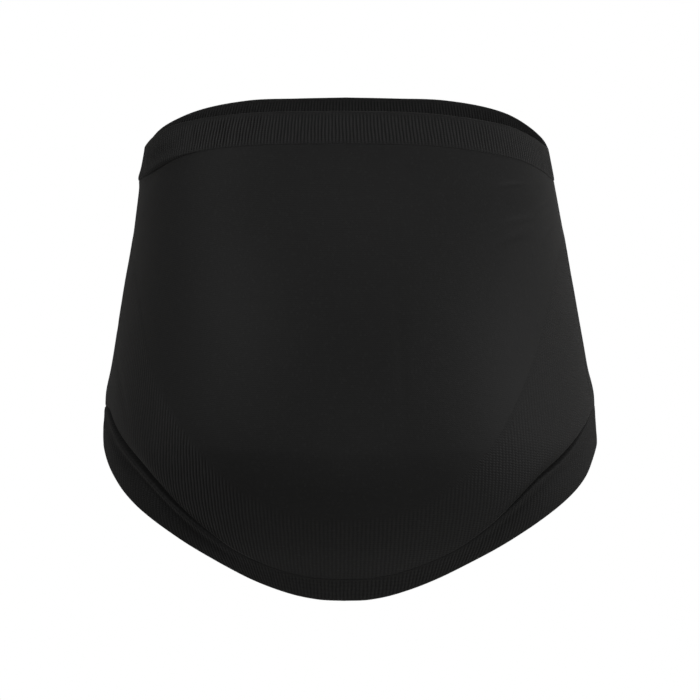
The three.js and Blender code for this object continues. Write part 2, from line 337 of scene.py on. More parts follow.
# %% Tables of folds, puffs and creases, in millimetres where nothing else is said
SEAM_DIP = {"waist": 0.1, "hem": 0.06}
FOLD_DEPTH = 5.0
BAND_ROLL, CLOTH_ROLL = 1.2, 2.2
SHALLOW_ROLL = 0.4  # share of the roll's width that a hardly folded place has
HANG, BAND_HANG, CLOTH_HANG = 3.4, 15, 8
SWELL, SWELL_AT = 0.8, 26
LIP, LIP_AT, LIP_SPREAD = 1.3, 3.4, 2.1
HOLLOW_AT, HOLLOW_SPREAD = 9.8, 3
# Painted shade beside the folds: its strength on the band, where it lies there and its spread, and its
# spread on the cloth.
FOLD_SHADE_BAND, FOLD_SHADE_BAND_AT, FOLD_SHADE_BAND_SPREAD = 0.45, 10, 5
FOLD_SHADE_CLOTH_SPREAD = 8
PUFF = 1.6
CREASE_ENDS = 0.35  # share of a crease's depth at its two ends
WAVE, FINE_WAVE = 0.22, 0.05

FOLDS = [  # band, turn, spread in degrees, share of the depth
    ("waist", -66, 10, 0.4),
    ("hem", -54, 15, 1.0),
    ("hem", -76, 11, 0.3),
    ("hem", 54, 12, 0.55),
]
PUFFS = [  # turn, level, spread in degrees, spread in levels, share of the puff
    (-90, 0.125, 10, 0.055, 0.8),
    (89, 0.125, 10, 0.055, 1.0),
    (52, 0.76, 8, 0.03, -0.22),
    (60, 0.7, 8, 0.035, 0.25),
    (50, 0.64, 9, 0.03, -0.22),
    (-90, 0.6, 25, 0.12, -0.6),
    (89, 0.6, 25, 0.12, 0.45),
    (-88, -0.05, 14, 0.05, -0.9),
    (76, -0.15, 14, 0.06, 1.0),
    (-104, 0.955, 16, 0.035, 1.9),
    (-96, 0.865, 12, 0.025, -0.4),
    (-84, -0.125, 14, 0.04, -0.7),
    (-88, 0.79, 9, 0.022, 0.7),
]
CREASES = [  # from turn and level, to turn and level, width and depth in millimetres
    (-88, 0.35, -70, 0.21, 2.2, 0.9),
    (-70, 0.21, -60, 0.08, 4.0, 0.5),
    (79, 0.28, 77, 0.11, 2.5, 0.7),
    (47, 0.775, 56, 0.78, 1.3, 0.5),
    (56, 0.78, 64, 0.765, 1.6, 0.25),
    (44, 0.665, 58, 0.68, 2.2, 0.3),
    (40, 0.605, 52, 0.635, 2.4, 0.25),
    (58, 0.70, 68, 0.715, 1.8, 0.3),
    (60, 0.62, 70, 0.655, 2.2, 0.2),
    (11, 0.5, 12, -0.05, 3.5, 0.25),
]
print(len(FOLDS), "folds,", len(PUFFS), "puffs and", len(CREASES), "creases")


# %% [markdown]
# Every one of these is made of the same soft bell curve, wide for a puff and narrow for a crease. A
# displace modifier could push the cloth in and out too, but it doesn't know how far each point is
# from the joins, which the folds follow. Across a fold there are several curves: the roll itself,
# which is steeper on the band than on the cloth, a wide hang on both sides, a lip and a hollow on the
# band, and a swell further along the cloth. Two more say where painted shade darkens the cloth
# beside a fold. The waves of stretched cloth are sines with lengths that don't divide one another,
# so they don't seem to repeat.

# %% Offsets of the cloth from the form
def bump(away_from, spread):
    """A bell curve: 1 in the middle, and about a third at the spread."""
    return np.exp(-((away_from / spread) ** 2))


def folding(band, turn):
    """How much of the deepest fold there is along a band, from 0 to about 1."""
    rows = [row for row in FOLDS if row[0] == band]
    return sum(depth * bump(aside(turn - middle_turn), spread) for _, middle_turn, spread, depth in rows)


def crease_offset(turn, past_waist, past_hem):
    """The dips and rolls along both bands, from the distances past their joins."""
    offset = np.zeros_like(turn)
    for band, past, inside in (("waist", past_waist, -1), ("hem", past_hem, 1)):
        fold = folding(band, turn)
        on_band = past * inside > 0
        widened = SHALLOW_ROLL + (1 - SHALLOW_ROLL) * np.clip(fold, 0, 1)
        roll = np.where(on_band, BAND_ROLL, CLOTH_ROLL) * widened
        offset -= (SEAM_DIP[band] + FOLD_DEPTH * fold) * bump(past, roll)
        offset -= HANG * fold * bump(past, np.where(on_band, BAND_HANG, CLOTH_HANG))
        offset += np.where(on_band, 0, SWELL * fold * bump(abs(past) - SWELL_AT, SWELL_AT / 2))
        lip = bump(abs(past) - LIP_AT, LIP_SPREAD) - bump(abs(past) - HOLLOW_AT, HOLLOW_SPREAD)
        offset += np.where(on_band, LIP * fold * lip, 0)
    return offset


def fold_shade_share(turn, past_waist, past_hem):
    """How much painted shade falls beside the folds, from 0 to about 1."""
    pressed = np.zeros_like(turn)
    for band, past, inside in (("waist", past_waist, -1), ("hem", past_hem, 1)):
        on_band = FOLD_SHADE_BAND * bump(abs(past) - FOLD_SHADE_BAND_AT, FOLD_SHADE_BAND_SPREAD)
        beside = np.where(past * inside > 0, on_band, bump(past, FOLD_SHADE_CLOTH_SPREAD))
        pressed += np.clip(folding(band, turn), 0, 1) * beside
    return pressed


def slack_offset(turn, height):
    """Puffs, thin creases and the unevenness of stretched cloth."""
    level = height / RIM_FRONT
    offset = np.zeros_like(turn)
    for middle_turn, middle_level, spread, tall, out in PUFFS:
        offset += PUFF * out * bump(aside(turn - middle_turn), spread) * bump(level - middle_level, tall)
    across, up = np.radians(turn) * HIP_WIDTH / 2, height
    for turn_a, level_a, turn_b, level_b, width, depth in CREASES:
        start = np.array([math.radians(turn_a) * HIP_WIDTH / 2, level_a * RIM_FRONT])
        run = np.array([math.radians(turn_b) * HIP_WIDTH / 2, level_b * RIM_FRONT]) - start
        along = ((across - start[0]) * run[0] + (up - start[1]) * run[1]) / (run @ run)
        near = np.clip(along, 0, 1)
        away_from = np.hypot(across - start[0] - near * run[0], up - start[1] - near * run[1])
        fading = CREASE_ENDS + (1 - CREASE_ENDS) * np.sin(math.pi * near)
        offset -= depth * bump(away_from, width) * fading
    wave = np.sin(across / 31 + 1.3 * np.sin(up / 43)) * np.sin(up / 27 + np.sin(across / 39))
    fine = np.sin(across / 9.5 + 2 * np.sin(up / 17)) * np.sin(up / 8.3 + 1.4 * np.sin(across / 13))
    return offset + WAVE * wave + FINE_WAVE * fine


deepest = max(float(folding("hem", turn)) for turn in range(-180, 180))
print("deepest fold", round(deepest * FOLD_DEPTH, 1), "mm")

# %% [markdown]
# ## One ring of knitting
#
# Each of the four parts of the tube is a closed ring: down its outer face, round its edge, up its
# inner face and back. A turned edge, as at the rim and at the hem, is a half circle, because there
# the knitting is doubled over. Every ring starts as a flat grid, which is bent onto the form like
# paper round a jar. That keeps five or six columns of faces for each rib, so the ribs can be real
# geometry, and a clean UV map, which counts ribs one way and millimetres of cloth the other way. The
# rows lie closer together beside a fold, where the cloth bends most. A Solidify modifier could make
# the wall, but not the round edge.

# %% Rows down a piece, in millimetres
BAND_WALL, SLING_WALL, JERSEY_WALL = 2.4, 1.8, 1.4
JOIN_GAP = 0.04
NEAR_FOLD = (0, 0.4, 0.8, 1.3, 1.9, 2.6, 3.4, 4.4, 5.6, 7.2, 9, 11.5, 14.5)
NEAR_LIP = (0, 0.35, 0.7, 1.1, 1.6, 2.2, 3, 4, 5.4, 7, 8.8, 10.8)
NEAR_BORDER = (0, 0.4, 0.8, 1.3, 2)
TURNED_STEPS = 5
CROWDED_SHARE = 0.6  # most of a piece's length that its two crowded ends may take up


def rows_down(length, upper, plain, lower):
    """Distances down pieces of these lengths: close together near both ends, and even between."""
    crowd = np.minimum(1, CROWDED_SHARE * length / (upper[-1] + lower[-1] + 1))
    first, last = upper[-1] * crowd, length - lower[-1] * crowd
    even = [first + (last - first) * (k + 1) / (plain + 1) for k in range(plain)]
    return [d * crowd for d in upper] + even + [length - d * crowd for d in reversed(lower)]


def outline_stops(start, end, wall, turned, upper, plain, lower, inner_plain):
    """The ring's closed outline: distance down the cloth, depth in it, and the way that it faces."""
    outer = [(start + row, 0, 0.0) for row in rows_down(end - start, upper, plain, lower)]
    inner_rows = rows_down(end - start, upper[::3], inner_plain, lower[::3])
    inner = [(start + row, wall, math.pi) for row in reversed(inner_rows)]
    bend = []
    for k in range(1, TURNED_STEPS):
        facing = math.pi * k / TURNED_STEPS
        bend.append((wall / 2 * math.sin(facing), wall / 2 * (1 - math.cos(facing)), facing))
    below = [(end + out, depth, facing) for out, depth, facing in bend] if turned == "lower" else []
    above = [(start - out, depth, -facing) for out, depth, facing in bend] if turned == "upper" else []
    return outer + below + inner + above[::-1]


print("rows down 24 mm of band", [round(float(r), 1) for r in rows_down(24, (0,), 4, NEAR_LIP[:6])])

# %% [markdown]
# The ribs are rounded on top and pinched between, which a plain sine isn't, so the sine is raised to
# a power. No two needles pull exactly alike, so each rib is also a little higher or lower than the
# next, its height drifts along its length, and it swerves a little. The random numbers are seeded, so
# that the belt comes out the same each time.
#
# The ribs don't stand equally everywhere. At the sides the cloth is pulled flat. At the lower left of
# the front they stand out most. Towards the edge of a piece they lie down: a turned edge is pulled
# smooth, beside a fold it takes longer, and where ribs meet plain knitting they grow out of it, some a
# stitch or two later than others. A bump map could draw all that, but not cast its small shadows.

# %% Relief of the ribs
UNEVENNESS = 0.12  # share of a rib's height
random = np.random.default_rng(11)
RIB_UNEVEN = random.normal(0, UNEVENNESS, RIBS)
RIB_DRIFT = random.uniform(0, 2 * math.pi, RIBS)
RIB_LATE = random.uniform(0, 1, RIBS)
RIB_ROUNDING, RIB_MEAN = 0.6, 0.62  # the power, and the mean height that it gives
DRIFT, DRIFT_OVER = 0.1, 9  # share of the height, and millimetres
SWERVE, SWERVE_EVERY = 0.05, 18  # in ribs, and in millimetres
FLATTENED, FLATTENED_AT, FLATTENED_OVER = 0.55, 76, 20
STANDS_OUT_AT, STANDS_OUT_OVER = -45, 15
CALMED_BY_FOLD = 2.5


def rib_stand(rib, turn, ribs, past_upper, past_lower):
    """Share of their usual height that the ribs have, at distances from a piece's two edges."""
    own = np.floor(rib).astype(int) % RIBS
    stand = 1 + ribs["stands_out"] * bump(aside(turn - STANDS_OUT_AT), STANDS_OUT_OVER)
    stand = stand * (1 - FLATTENED * bump(aside(turn) - FLATTENED_AT, FLATTENED_OVER))
    for edge, past in (("upper", past_upper), ("lower", past_lower)):
        least, run, ragged, fold = ribs[edge]
        run = run * (1 + CALMED_BY_FOLD * folding(fold, turn))
        stand = stand * (least + (1 - least) * np.clip((past - ragged * RIB_LATE[own]) / run, 0, 1))
    return stand


def swerved(rib, distance):
    """The numbers of the ribs that pass where these numbers would be if all ribs were straight."""
    late = np.interp(rib, np.arange(RIBS + 1), np.append(RIB_DRIFT, RIB_DRIFT[0]))
    return rib + SWERVE * np.sin(2 * math.pi * distance / SWERVE_EVERY + late)


def rib_relief(rib, distance, relief):
    """Height of the ribs' surface over their mean where they stand fully, in millimetres."""
    shape = (0.5 - 0.5 * np.cos(2 * math.pi * rib)) ** RIB_ROUNDING
    own = np.floor(rib).astype(int) % RIBS
    uneven = 1 + RIB_UNEVEN[own] + DRIFT * np.sin(distance / DRIFT_OVER + RIB_DRIFT[own])
    return relief * uneven * (shape - RIB_MEAN)


print("ribs differ by up to", round(float(100 * abs(RIB_UNEVEN).max())), "per cent")

# %% [markdown]
# A piece's outline and its wales make a grid. Each point of it is looked up along its wale, by its
# distance from the rim, and then moved off the form by all that was described above. Two more
# numbers go with each point for the material: how high the ribs stand there, and how much painted
# shade a fold puts there, in the mark called pressed. A Shrinkwrap modifier could lay the grid on
# the form, but it wouldn't keep the ribs on their wales.

# %% Lay a grid of points on the form
def along_wales(lines, what, distance):
    """The turns or heights of the wales, at a distance from the rim along each of them."""
    lengths, values = lines["lengths"], lines[what]
    return np.array([np.interp(far, lengths[:, k], values[:, k]) for k, far in enumerate(distance)])


def lay_out(columns, start, end, proud, level_over, ribs, **outline):
    """Places, UV coordinates and marks of a ring's grid. Its last row and column are its first again."""
    lines = follow_wales(columns)
    first, last = start(lines), end(lines)
    stops = outline_stops(first, last, **outline)
    rib = np.linspace(0, RIBS, columns + 1)
    grid = {name: np.empty((len(stops) + 1, columns + 1)) for name in ("rib_stand", "pressed")}
    grid["places"] = np.empty((len(stops) + 1, columns + 1, 3))
    grid["flat"] = np.empty((len(stops) + 1, columns + 1, 2))
    for row, (distance, depth, facing) in enumerate(stops):
        stand = rib_stand(rib, lines["turns"][0], ribs, distance - first, last - distance)
        high = rib_relief(swerved(rib, distance), distance, ribs["relief"]) * stand
        lies_at = distance + high * math.sin(facing)
        turn = along_wales(lines, "turns", lies_at)
        height = along_wales(lines, "heights", lies_at)
        past = [distance - lines["joins"][join] for join in ("waist", "hem")]
        risen = np.clip((distance - first) / level_over, 0, 1) if level_over else 1
        offset = proud * risen - depth + high * math.cos(facing)
        offset = offset + crease_offset(turn, *past) + slack_offset(turn, height)
        grid["places"][row] = form_point(turn, height) + form_facing(turn, height) * offset[:, None]
        grid["flat"][row] = np.stack([swerved(rib, distance), distance + depth], axis=-1)
        grid["rib_stand"][row] = stand
        # The pressed mark is painted shade beside the folds.
        grid["pressed"][row] = fold_shade_share(lines["turns"][0], *past)
    for values in grid.values():
        values[-1] = values[0]
    grid["flat"][-1, :, 1] -= 1
    grid["places"][:, -1] = grid["places"][:, 0]
    return grid


# How strong the painted shade is in the deepest fold.
deep = fold_shade_share(np.array([-54.0]), np.array([300.0]), np.array([0.0]))
print("in the deepest fold the fuzz is pressed to", round(float(deep[0]), 2))

# %% [markdown]
# The grid of points becomes a closed mesh in two steps. Blender makes a flat grid, which gets the
# places, the UV map and the marks, and then the doubled points of its first and last row and column
# are welded. The corner between the outer face and a cut edge is sharp, and everything else is smooth.

# %% Turn the grid into a piece
SHARP_FROM = math.radians(75)
WELDED_WITHIN = 1e-7  # metres


def knit_ring(name, node, slot_name, columns, **layout):
    """A closed ring of cloth on the form, from one of the joins to another."""
    grid = lay_out(columns, **layout)
    rows = len(grid["places"]) - 1
    sheet = bmesh.new()
    bmesh.ops.create_grid(sheet, x_segments=columns, y_segments=rows, size=0.5)
    mesh = bpy.data.meshes.new(name)
    sheet.to_mesh(mesh)
    at = np.empty(len(mesh.vertices) * 3)
    mesh.vertices.foreach_get("co", at)
    column = np.rint((at[0::3] + 0.5) * columns).astype(int)
    row = np.rint((at[1::3] + 0.5) * rows).astype(int)
    mesh.vertices.foreach_set("co", (grid["places"][row, column] * MM).ravel())
    # The pressed mark carries the painted shade beside the folds to the material.
    for mark in ("rib_stand", "pressed"):
        mesh.attributes.new(mark, "FLOAT", "POINT").data.foreach_set("value", grid[mark][row, column])
    corners = np.empty(len(mesh.loops), dtype=int)
    mesh.loops.foreach_get("vertex_index", corners)
    uv = mesh.uv_layers.new(name="ribs_and_millimetres")
    uv.uv.foreach_set("vector", grid["flat"][row, column][corners].ravel())
    sheet.clear()
    sheet.from_mesh(mesh)
    bmesh.ops.remove_doubles(sheet, verts=sheet.verts, dist=WELDED_WITHIN)
    bmesh.ops.recalc_face_normals(sheet, faces=sheet.faces)
    for face in sheet.faces:
        face.smooth = True
    open_edges = sum(not edge.is_manifold for edge in sheet.edges)
    sheet.to_mesh(mesh)
    sheet.free()
    mesh.set_sharp_from_angle(angle=SHARP_FROM)

    piece = bpy.data.objects.new(name, mesh)
    bpy.context.collection.objects.link(piece)
    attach(piece, "root")
    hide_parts(node)
    print(name, 2 * len(mesh.polygons), "triangles,", open_edges, "open edges")
    return piece


# %% [markdown]
# ## The waistband
#
# The waistband is a one by one rib, knitted double and turned over at the top, so its rim is round
# and soft and the same ribs run over it and down the inside. They stand high, because the band is
# stretched least. The inside of the back shows over the front, so the inner face has ribs too.
#
# At each edge of a piece, four values say how its ribs begin: the share of their height at the edge,
# the millimetres over which they reach all of it, how late the latest rib starts, and the fold beside.
# The relief is how high they stand, and stands_out is how much more they do so at the lower left.

# %% Waistband
BAND_PROUD = 0.35  # millimetres outside the jersey
waistband = knit_ring(
    "waistband_knit", "waistband", "rib_knit", RIBS * 6,
    start=lambda lines: np.full_like(lines["joins"]["waist"], BAND_WALL / 2),
    end=lambda lines: lines["joins"]["waist"] - JOIN_GAP / 2,
    proud=BAND_PROUD, level_over=0,
    ribs={
        "relief": 0.6, "stands_out": 0.5,
        "upper": (0.06, 3.5, 0, None), "lower": (0.35, 2.5, 0.8, "waist"),
    },
    wall=BAND_WALL, turned="upper", upper=(0,), plain=10, lower=NEAR_LIP[:9], inner_plain=6,
)

# %% [markdown]
# ## The belly panel
#
# The panel is plain jersey, fine and smooth, and it is stretched most. Its stitches are too small
# for geometry, so they are left to the material, and the grid needs fewer columns than ribs would.
# What is modelled is how it lies: the creases under the waistband, the puffs at the sides and the
# slight waves.

# %% Belly panel
belly_panel = knit_ring(
    "belly_panel_knit", "belly_panel", "jersey_knit", 468,
    start=lambda lines: lines["joins"]["waist"] + JOIN_GAP / 2,
    end=lambda lines: lines["joins"]["sling"] - JOIN_GAP / 2,
    proud=0, level_over=0,
    ribs={"relief": 0, "stands_out": 0, "upper": (1, 1, 0, None), "lower": (1, 1, 0, None)},
    wall=JERSEY_WALL, turned=None, upper=NEAR_FOLD, plain=112, lower=(0, 0.6), inner_plain=22,
)

# %% [markdown]
# ## The support sling
#
# The sling carries the weight. It is knitted from the same yarn with a second, stiffer one laid in,
# which gives wide ribs that stand lower than the waistband's. It starts level with the jersey,
# because both are made by the same needles, and its ribs grow out of the jersey over a few stitches.

# %% Support sling
SLING_PROUD = 0.2  # millimetres, reached level_over the first 6
support_sling = knit_ring(
    "support_sling_knit", "support_sling", "support_knit", RIBS * 5,
    start=lambda lines: lines["joins"]["sling"] + JOIN_GAP / 2,
    end=lambda lines: lines["joins"]["hem"] - JOIN_GAP / 2,
    proud=SLING_PROUD, level_over=6,
    ribs={
        "relief": 0.18, "stands_out": 3.2,
        "upper": (0, 6, 4, None), "lower": (0.3, 2.5, 1, "hem"),
    },
    wall=SLING_WALL, turned=None, upper=NEAR_BORDER, plain=24, lower=NEAR_FOLD, inner_plain=10,
)

# %% [markdown]
# ## The hem band
#
# The hem band is the waistband's twin, turned over at the bottom. It grips tightly, which is why it
# stays put while the sling rolls over its upper edge on both sides. Its ribs stand lower, because the
# band is stretched more.

# %% Hem band
hem_band = knit_ring(
    "hem_band_knit", "hem_band", "rib_knit", RIBS * 6,
    start=lambda lines: lines["joins"]["hem"] + JOIN_GAP / 2,
    end=lambda lines: lines["lengths"][HEM_ROW],
    proud=BAND_PROUD, level_over=0,
    ribs={
        "relief": 0.34, "stands_out": 0.5,
        "upper": (0.2, 2.5, 1, "hem"), "lower": (0.05, 4, 0, None),
    },
    wall=BAND_WALL, turned="lower", upper=NEAR_LIP, plain=8, lower=(0,), inner_plain=6,
)

# %% [markdown]
# ## How far it is stretched
#
# Unworn, the belt is a tube about 34 cm wide when it is laid flat, and 26 cm tall. Worn, it is
# stretched by about a fifth at the rim and by almost a half at the hips.

UNWORN_ROUND = 680  # millimetres
rounds = np.linalg.norm(np.diff(net, axis=1), axis=-1).sum(axis=1)
print("stretched by", round(float(rounds[RIM_ROW] / UNWORN_ROUND - 1), 2), "at the rim")
print("and by", round(float(rounds.max() / UNWORN_ROUND - 1), 2), "where it is widest")

# %% [markdown]
# ## The knitted cloth
#
# All of the belt is nylon with some elastane, dyed black. Black cloth isn't black in a picture: it
# gives back about a hundredth of the light, a little more where it is seen at a slant, because of
# the fine hairs on the yarn. That is what sheen is for. The stitches are drawn in the UV map, which
# counts ribs and millimetres, so they follow the cloth wherever it goes.

# %% Helpers for materials
def linear(hex_colour):
    """An sRGB colour such as #1c1c1c as linear red, green, blue and alpha, by the sRGB standard."""
    parts = [int(hex_colour[k : k + 2], 16) / 255 for k in (1, 3, 5)]
    return [c / 12.92 if c <= 0.04045 else ((c + 0.055) / 1.055) ** 2.4 for c in parts] + [1]


def add_node(tree, kind, sockets=None, **settings):
    """Add a node with its settings, and fill its sockets with values, with sockets or with nodes."""
    node = tree.nodes.new(kind)
    for name, value in settings.items():
        setattr(node, name, value)
    for socket, value in (sockets or {}).items():
        if isinstance(value, bpy.types.Node):
            value = value.outputs[0]
        if isinstance(value, bpy.types.NodeSocket):
            tree.links.new(value, node.inputs[socket])
        else:
            node.inputs[socket].default_value = value
    return node


print("black nylon gives back", [round(c, 4) for c in linear("#1c1c1c")[:3]])


# %% [markdown]
# A knit stitch looks like a V: two legs that lean towards each other, one stitch over the next. Here
# the height of a leg is a cosine that runs down the cloth and is delayed towards the rib's edges,
# which bends its crests into rows of V. A little noise in the delay keeps the rows from being ruled
# lines. In the picture the rows show most at the right, where the light rakes over them, so their
# strength goes from one value at the middle of the belt to another at its right. Each stitch also
# gets a number of its own, and from that a random tone.

# %% The pattern of the stitches
WANDER_OVER = 50 / 7  # millimetres: seven in five centimetres
RIGHT_SIDE = 0.13  # metres from the middle


def stitch_pattern(add, wales_per_rib, course, lean, cross):
    """What a knit varies by: its legs, its furrows, its rows, and a tone for each stitch."""
    uv = add("ShaderNodeSeparateXYZ", {0: add("ShaderNodeUVMap", uv_map="ribs_and_millimetres")})
    place = add("ShaderNodeTexCoord").outputs["Object"]
    side = add("ShaderNodeSeparateXYZ", {0: place}).outputs[0]
    wander = add("ShaderNodeTexNoise", {"Vector": place, "Scale": 1 / (WANDER_OVER * MM), "Detail": 2})
    wale = add("ShaderNodeMath", {0: uv.outputs[0], 1: wales_per_rib}, operation="MULTIPLY")
    rows = add("ShaderNodeMath", {0: uv.outputs[1], 1: 1 / course, 2: wander}, operation="MULTIPLY_ADD")
    in_wale = add("ShaderNodeMath", {0: wale}, operation="FRACT")
    aside_of = add("ShaderNodeMath", {0: in_wale, 1: 0.5}, operation="SUBTRACT")
    from_middle = add("ShaderNodeMath", {0: aside_of}, operation="ABSOLUTE")
    delayed = add("ShaderNodeMath", {0: from_middle, 1: -2 * lean, 2: rows}, operation="MULTIPLY_ADD")
    round_leg = add("ShaderNodeMath", {0: delayed, 1: 2 * math.pi}, operation="MULTIPLY")
    legs = add("ShaderNodeMath", {0: round_leg}, operation="COSINE")
    showing = add(
        "ShaderNodeMapRange",
        {"Value": side, "From Min": 0.0, "From Max": RIGHT_SIDE, "To Min": cross[0], "To Max": cross[1]},
    )
    legs = add("ShaderNodeMath", {0: legs, 1: showing}, operation="MULTIPLY")
    round_rib = add("ShaderNodeMath", {0: uv.outputs[0], 1: 2 * math.pi}, operation="MULTIPLY")
    between = add("ShaderNodeMath", {0: round_rib}, operation="COSINE")
    own_wale = add("ShaderNodeMath", {0: wale}, operation="FLOOR")
    own_row = add("ShaderNodeMath", {0: delayed}, operation="FLOOR")
    own = add("ShaderNodeCombineXYZ", {0: own_wale, 1: own_row})
    tone = add("ShaderNodeTexWhiteNoise", {"Vector": own}, noise_dimensions="2D").outputs["Value"]
    return {
        "uv": uv, "place": place, "wale": wale, "rows": rows,
        "legs": legs, "between_ribs": between, "tone": tone,
    }


print("the rows of stitches wander every", round(WANDER_OVER, 1), "mm")


# %% [markdown]
# Yarn is never one even black. It varies a little from stitch to stitch, and now and then one stitch
# catches the light. Noise that is long and thin along the wales, and the same across them, gives the
# streaks and slubs of uneven yarn. A picture of cloth could be laid on instead, but that would repeat.
# All of it is weak: what the eye should find is black cloth, and the knit only when it looks closer.

# %% How light the yarn is
STREAK_WIDTH, STREAK_LENGTH = 1.25, 25  # in wales, and in millimetres
SLUBS_PER_ROW, SLUB_SQUEEZE = 0.9, 0.12  # so that a slub runs over about nine ribs
SPECK_RARITY = 14
PLAIN_YARN = 0.05


def yarn_tone(add, knit, specks, slubs):
    """How far the yarn is from its dark colour to its light one. A few stitches go beyond it."""
    ribs, down = knit["uv"].outputs[0], knit["uv"].outputs[1]
    slower = add("ShaderNodeMath", {0: down, 1: STREAK_WIDTH / STREAK_LENGTH}, operation="MULTIPLY")
    along = add("ShaderNodeCombineXYZ", {0: knit["wale"], 1: slower})
    streak = add(
        "ShaderNodeTexNoise",
        {"Vector": along, "Scale": 1 / STREAK_WIDTH, "Detail": 3, "Roughness": 0.65},
    )
    squeezed = add("ShaderNodeMath", {0: ribs, 1: SLUB_SQUEEZE}, operation="MULTIPLY")
    across = add("ShaderNodeCombineXYZ", {0: squeezed, 1: knit["rows"]})
    slub = add(
        "ShaderNodeTexNoise",
        {"Vector": across, "Scale": SLUBS_PER_ROW, "Detail": 3, "Roughness": 0.6},
    )
    rare = add("ShaderNodeMath", {0: knit["tone"], 1: SPECK_RARITY}, operation="POWER")
    mixed = add("ShaderNodeMath", {0: rare, 1: specks, 2: PLAIN_YARN}, operation="MULTIPLY_ADD")
    for part, share in ((knit["tone"], 0.25), (streak, 0.5), (slub, slubs), (knit["legs"], 0.1)):
        mixed = add("ShaderNodeMath", {0: part, 1: share, 2: mixed}, operation="MULTIPLY_ADD")
    return mixed


print("a slub runs over", round(1 / (SLUBS_PER_ROW * SLUB_SQUEEZE), 1), "ribs")


# %% [markdown]
# The mesh's two marks come in here. Between two ribs the cloth is pinched, and little light gets in,
# so shade is painted into the furrow and a highlight onto the crest, as much as the ribs stand up.
# Beside a fold, painted shade darkens the colour, the shine and the sheen, and so deepens the shade
# along the fold. Deeper geometry would shade the furrows by itself, but its ribs would stand too far
# out at the edges.

# %% How much light the ribs and the folds leave
# How much the painted fold shade darkens the cloth where it is deepest.
FOLD_SHADE_STRENGTH = 0.6


def light_left(add, knit, rib_highlight, furrow):
    """Painted highlight over 1 on the ribs, and painted shade under 1 in furrows and beside folds."""
    stand = add("ShaderNodeAttribute", attribute_name="rib_stand").outputs["Fac"]
    # The pressed mark is the painted shade beside the folds.
    pressed = add("ShaderNodeAttribute", attribute_name="pressed").outputs["Fac"]
    shade = add(
        "ShaderNodeMath",
        {0: knit["between_ribs"], 1: furrow / 2, 2: furrow / 2 - rib_highlight},
        operation="MULTIPLY_ADD",
    )
    shade = add("ShaderNodeMath", {0: shade, 1: stand}, operation="MULTIPLY")
    lit = add("ShaderNodeMath", {0: 1, 1: shade}, operation="SUBTRACT")
    fold_darkening = add("ShaderNodeMath", {0: pressed, 1: FOLD_SHADE_STRENGTH}, operation="MULTIPLY")
    left_by_fold_shade = add("ShaderNodeMath", {0: 1, 1: fold_darkening}, operation="SUBTRACT")
    return add("ShaderNodeMath", {0: lit, 1: left_by_fold_shade}, operation="MULTIPLY")


# Beside the deepest folds, the painted shade leaves this share of the light.
print("pressed cloth gives back", round(1 - FOLD_SHADE_STRENGTH, 1), "of its light")


# %% [markdown]
# The material puts these together. The painted highlight and shade scale the colour, the shine and
# the sheen alike. The stitches' height and the fuzz of the fibres go into a bump map, because they
# are too small for geometry, and the fuzz also roughens the shine. Nylon's IOR is about 1.5.

# %% A knitted material
FUZZ_OVER = 10 / 19  # millimetres: nineteen fibres in a centimetre
BUMP_STRENGTH = 0.8
ROUGHNESS, ROUGHER_BY_FUZZ = 0.55, 0.14


def knitted(name, colours, shine, stitch_depth, rib_highlight, furrow, specks, slubs, **stitches):
    """Knitted nylon. stitch_depth is in millimetres; rib_highlight and furrow are painted light, in
    shares.
    """
    material = bpy.data.materials.new(name)
    material.use_nodes = True
    material.node_tree.nodes.clear()
    add = functools.partial(add_node, material.node_tree)
    knit = stitch_pattern(add, **stitches)
    fuzz = add(
        "ShaderNodeTexNoise",
        {"Vector": knit["place"], "Scale": 1 / (FUZZ_OVER * MM), "Detail": 2, "Roughness": 0.6},
    )
    # In a node that mixes colours, sockets 6 and 7 take the colours and socket 2 gives the mixed one.
    dark, light = [linear(colour) for colour in colours]
    mixed = add(
        "ShaderNodeMix",
        {0: yarn_tone(add, knit, specks, slubs), 6: dark, 7: light},
        data_type="RGBA",
        clamp_factor=False,
    )
    # Painted highlight and shade scale the colour, the shine and the sheen.
    lit = light_left(add, knit, rib_highlight, furrow)
    colour = add("ShaderNodeVectorMath", {0: mixed.outputs[2], "Scale": lit}, operation="SCALE")
    gloss = add("ShaderNodeMath", {0: lit, 1: shine}, operation="MULTIPLY")
    haze = add("ShaderNodeMath", {0: lit, 1: shine / 2}, operation="MULTIPLY")

    height = add("ShaderNodeMath", {0: knit["legs"], 1: 0.5}, operation="MULTIPLY")
    for part, share in ((fuzz, 0.7), (knit["tone"], 0.3)):
        height = add("ShaderNodeMath", {0: part, 1: share, 2: height}, operation="MULTIPLY_ADD")
    stitched = add(
        "ShaderNodeBump", {"Strength": BUMP_STRENGTH, "Distance": stitch_depth * MM, "Height": height}
    )
    rough = add("ShaderNodeMath", {0: fuzz, 1: ROUGHER_BY_FUZZ, 2: ROUGHNESS}, operation="MULTIPLY_ADD")
    cloth = add(
        "ShaderNodeBsdfPrincipled",
        {
            "Base Color": colour, "Roughness": rough, "Normal": stitched, "IOR": 1.5,
            "Specular IOR Level": gloss, "Sheen Weight": haze, "Sheen Roughness": 0.5,
            "Sheen Tint": linear("#e9e7e4"),
        },
    )
    add("ShaderNodeOutputMaterial", {0: cloth})
    print(name, "stitches", stitches["course"], "mm tall")
    return material
